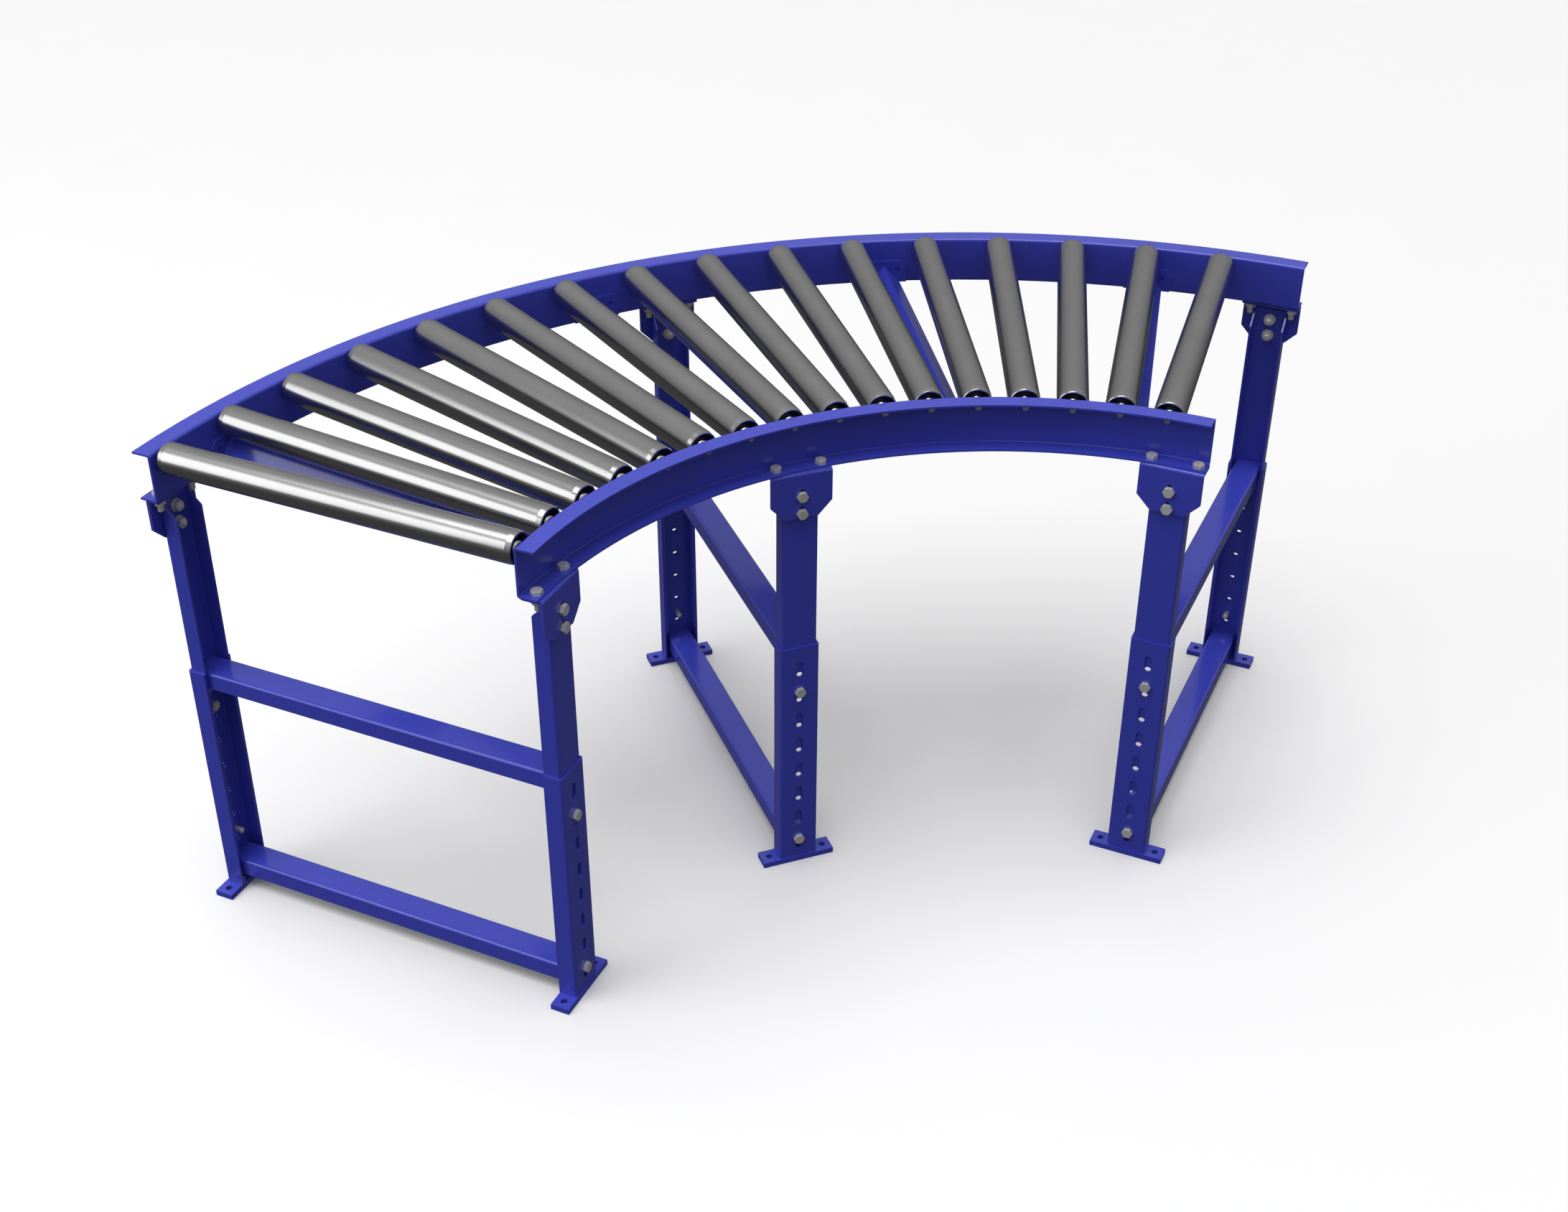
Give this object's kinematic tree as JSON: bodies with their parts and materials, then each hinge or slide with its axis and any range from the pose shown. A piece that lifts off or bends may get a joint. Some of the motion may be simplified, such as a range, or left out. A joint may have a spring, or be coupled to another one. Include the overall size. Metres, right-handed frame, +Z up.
{
  "type": "gravity roller conveyor",
  "caption": "Free-standing quarter-turn gravity roller conveyor: straight steel rollers fanned between two curved channel rails on adjustable H-stands.",
  "frame": {"origin": "on the floor under the centre of the bounding box", "axes": "+Z up; the track enters at the -X side heading +Y and leaves at the +Y side heading +X"},
  "size_m": [1.4246, 1.4206, 0.8493],
  "materials": {
    "blue_paint": "glossy powder coat",
    "roller_steel": "polished zinc-plated tube",
    "bearing_housing": "satin",
    "bright_steel": "bright",
    "zinc_fastener": "zinc-plated"
  },
  "bodies": {
    "frame": {"inner_rail": "blue_paint", "outer_rail": "blue_paint", "rail_braces": "blue_paint", "rail_brace_plates": "blue_paint", "roller_axles": "bright_steel", "bearing_inner_races": "bright_steel", "rail_brackets": "blue_paint", "bracket_rail_bolts": "zinc_fastener", "bracket_rail_nuts": "zinc_fastener", "bracket_leg_bolts": "zinc_fastener", "bracket_leg_washers": "zinc_fastener", "bracket_leg_nuts": "zinc_fastener", "upper_legs": "blue_paint", "upper_cross_braces": "blue_paint", "leg_bolts": "zinc_fastener", "leg_nuts": "zinc_fastener"},
    "lower_frame_1": {"lower_legs_1": "blue_paint", "lower_cross_brace_1": "blue_paint", "foot_plates_1": "blue_paint", "lower_brace_bolt_1": "zinc_fastener"},
    "lower_frame_2": {"lower_legs_2": "blue_paint", "lower_cross_brace_2": "blue_paint", "foot_plates_2": "blue_paint", "lower_brace_bolt_2": "zinc_fastener"},
    "lower_frame_3": {"lower_legs_3": "blue_paint", "lower_cross_brace_3": "blue_paint", "foot_plates_3": "blue_paint", "lower_brace_bolt_3": "zinc_fastener"},
    "roller_01": {"roller_tube_01": "roller_steel", "roller_bearings_01": "bearing_housing"},
    "roller_02": {"roller_tube_02": "roller_steel", "roller_bearings_02": "bearing_housing"},
    "roller_03": {"roller_tube_03": "roller_steel", "roller_bearings_03": "bearing_housing"},
    "roller_04": {"roller_tube_04": "roller_steel", "roller_bearings_04": "bearing_housing"},
    "roller_05": {"roller_tube_05": "roller_steel", "roller_bearings_05": "bearing_housing"},
    "roller_06": {"roller_tube_06": "roller_steel", "roller_bearings_06": "bearing_housing"},
    "roller_07": {"roller_tube_07": "roller_steel", "roller_bearings_07": "bearing_housing"},
    "roller_08": {"roller_tube_08": "roller_steel", "roller_bearings_08": "bearing_housing"},
    "roller_09": {"roller_tube_09": "roller_steel", "roller_bearings_09": "bearing_housing"},
    "roller_10": {"roller_tube_10": "roller_steel", "roller_bearings_10": "bearing_housing"},
    "roller_11": {"roller_tube_11": "roller_steel", "roller_bearings_11": "bearing_housing"},
    "roller_12": {"roller_tube_12": "roller_steel", "roller_bearings_12": "bearing_housing"},
    "roller_13": {"roller_tube_13": "roller_steel", "roller_bearings_13": "bearing_housing"},
    "roller_14": {"roller_tube_14": "roller_steel", "roller_bearings_14": "bearing_housing"},
    "roller_15": {"roller_tube_15": "roller_steel", "roller_bearings_15": "bearing_housing"},
    "roller_16": {"roller_tube_16": "roller_steel", "roller_bearings_16": "bearing_housing"}
  },
  "joints": [
    {"name": "leg_adjust_1", "type": "slide", "parent": "frame", "child": "lower_frame_1", "axis": [0, 0, 1], "range_m": [-0.002, 0.012]},
    {"name": "leg_adjust_2", "type": "slide", "parent": "frame", "child": "lower_frame_2", "axis": [0, 0, 1], "range_m": [-0.002, 0.012]},
    {"name": "leg_adjust_3", "type": "slide", "parent": "frame", "child": "lower_frame_3", "axis": [0, 0, 1], "range_m": [-0.002, 0.012]},
    {"name": "roller_spin_01", "type": "hinge", "parent": "frame", "child": "roller_01", "pos_m": [-0.3735, -0.67402, 0.8243], "axis": [-1, 0.0073, 0], "continuous": true},
    {"name": "roller_spin_02", "type": "hinge", "parent": "frame", "child": "roller_02", "pos_m": [-0.36635, -0.56944, 0.8243], "axis": [-0.9946, 0.1035, 0], "continuous": true},
    {"name": "roller_spin_03", "type": "hinge", "parent": "frame", "child": "roller_03", "pos_m": [-0.349, -0.4662, 0.8243], "axis": [-0.9801, 0.1987, 0], "continuous": true},
    {"name": "roller_spin_04", "type": "hinge", "parent": "frame", "child": "roller_04", "pos_m": [-0.32165, -0.36531, 0.8243], "axis": [-0.9564, 0.2921, 0], "continuous": true},
    {"name": "roller_spin_05", "type": "hinge", "parent": "frame", "child": "roller_05", "pos_m": [-0.28462, -0.26774, 0.8243], "axis": [-0.9239, 0.3827, 0], "continuous": true},
    {"name": "roller_spin_06", "type": "hinge", "parent": "frame", "child": "roller_06", "pos_m": [-0.23831, -0.17442, 0.8243], "axis": [-0.8827, 0.4699, 0], "continuous": true},
    {"name": "roller_spin_07", "type": "hinge", "parent": "frame", "child": "roller_07", "pos_m": [-0.18324, -0.08623, 0.8243], "axis": [-0.8334, 0.5526, 0], "continuous": true},
    {"name": "roller_spin_08", "type": "hinge", "parent": "frame", "child": "roller_08", "pos_m": [-0.11997, -0.00399, 0.8243], "axis": [-0.7764, 0.6302, 0], "continuous": true},
    {"name": "roller_spin_09", "type": "hinge", "parent": "frame", "child": "roller_09", "pos_m": [-0.04917, 0.07155, 0.8243], "axis": [-0.7122, 0.702, 0], "continuous": true},
    {"name": "roller_spin_10", "type": "hinge", "parent": "frame", "child": "roller_10", "pos_m": [0.02845, 0.13973, 0.8243], "axis": [-0.6413, 0.7673, 0], "continuous": true},
    {"name": "roller_spin_11", "type": "hinge", "parent": "frame", "child": "roller_11", "pos_m": [0.1121, 0.19994, 0.8243], "axis": [-0.5645, 0.8254, 0], "continuous": true},
    {"name": "roller_spin_12", "type": "hinge", "parent": "frame", "child": "roller_12", "pos_m": [0.20096, 0.25168, 0.8243], "axis": [-0.4825, 0.8759, 0], "continuous": true},
    {"name": "roller_spin_13", "type": "hinge", "parent": "frame", "child": "roller_13", "pos_m": [0.29417, 0.29453, 0.8243], "axis": [-0.396, 0.9183, 0], "continuous": true},
    {"name": "roller_spin_14", "type": "hinge", "parent": "frame", "child": "roller_14", "pos_m": [0.39084, 0.32816, 0.8243], "axis": [-0.3058, 0.9521, 0], "continuous": true},
    {"name": "roller_spin_15", "type": "hinge", "parent": "frame", "child": "roller_15", "pos_m": [0.49005, 0.35231, 0.8243], "axis": [-0.2128, 0.9771, 0], "continuous": true},
    {"name": "roller_spin_16", "type": "hinge", "parent": "frame", "child": "roller_16", "pos_m": [0.59088, 0.36684, 0.8243], "axis": [-0.1178, 0.993, 0], "continuous": true}
  ]
}
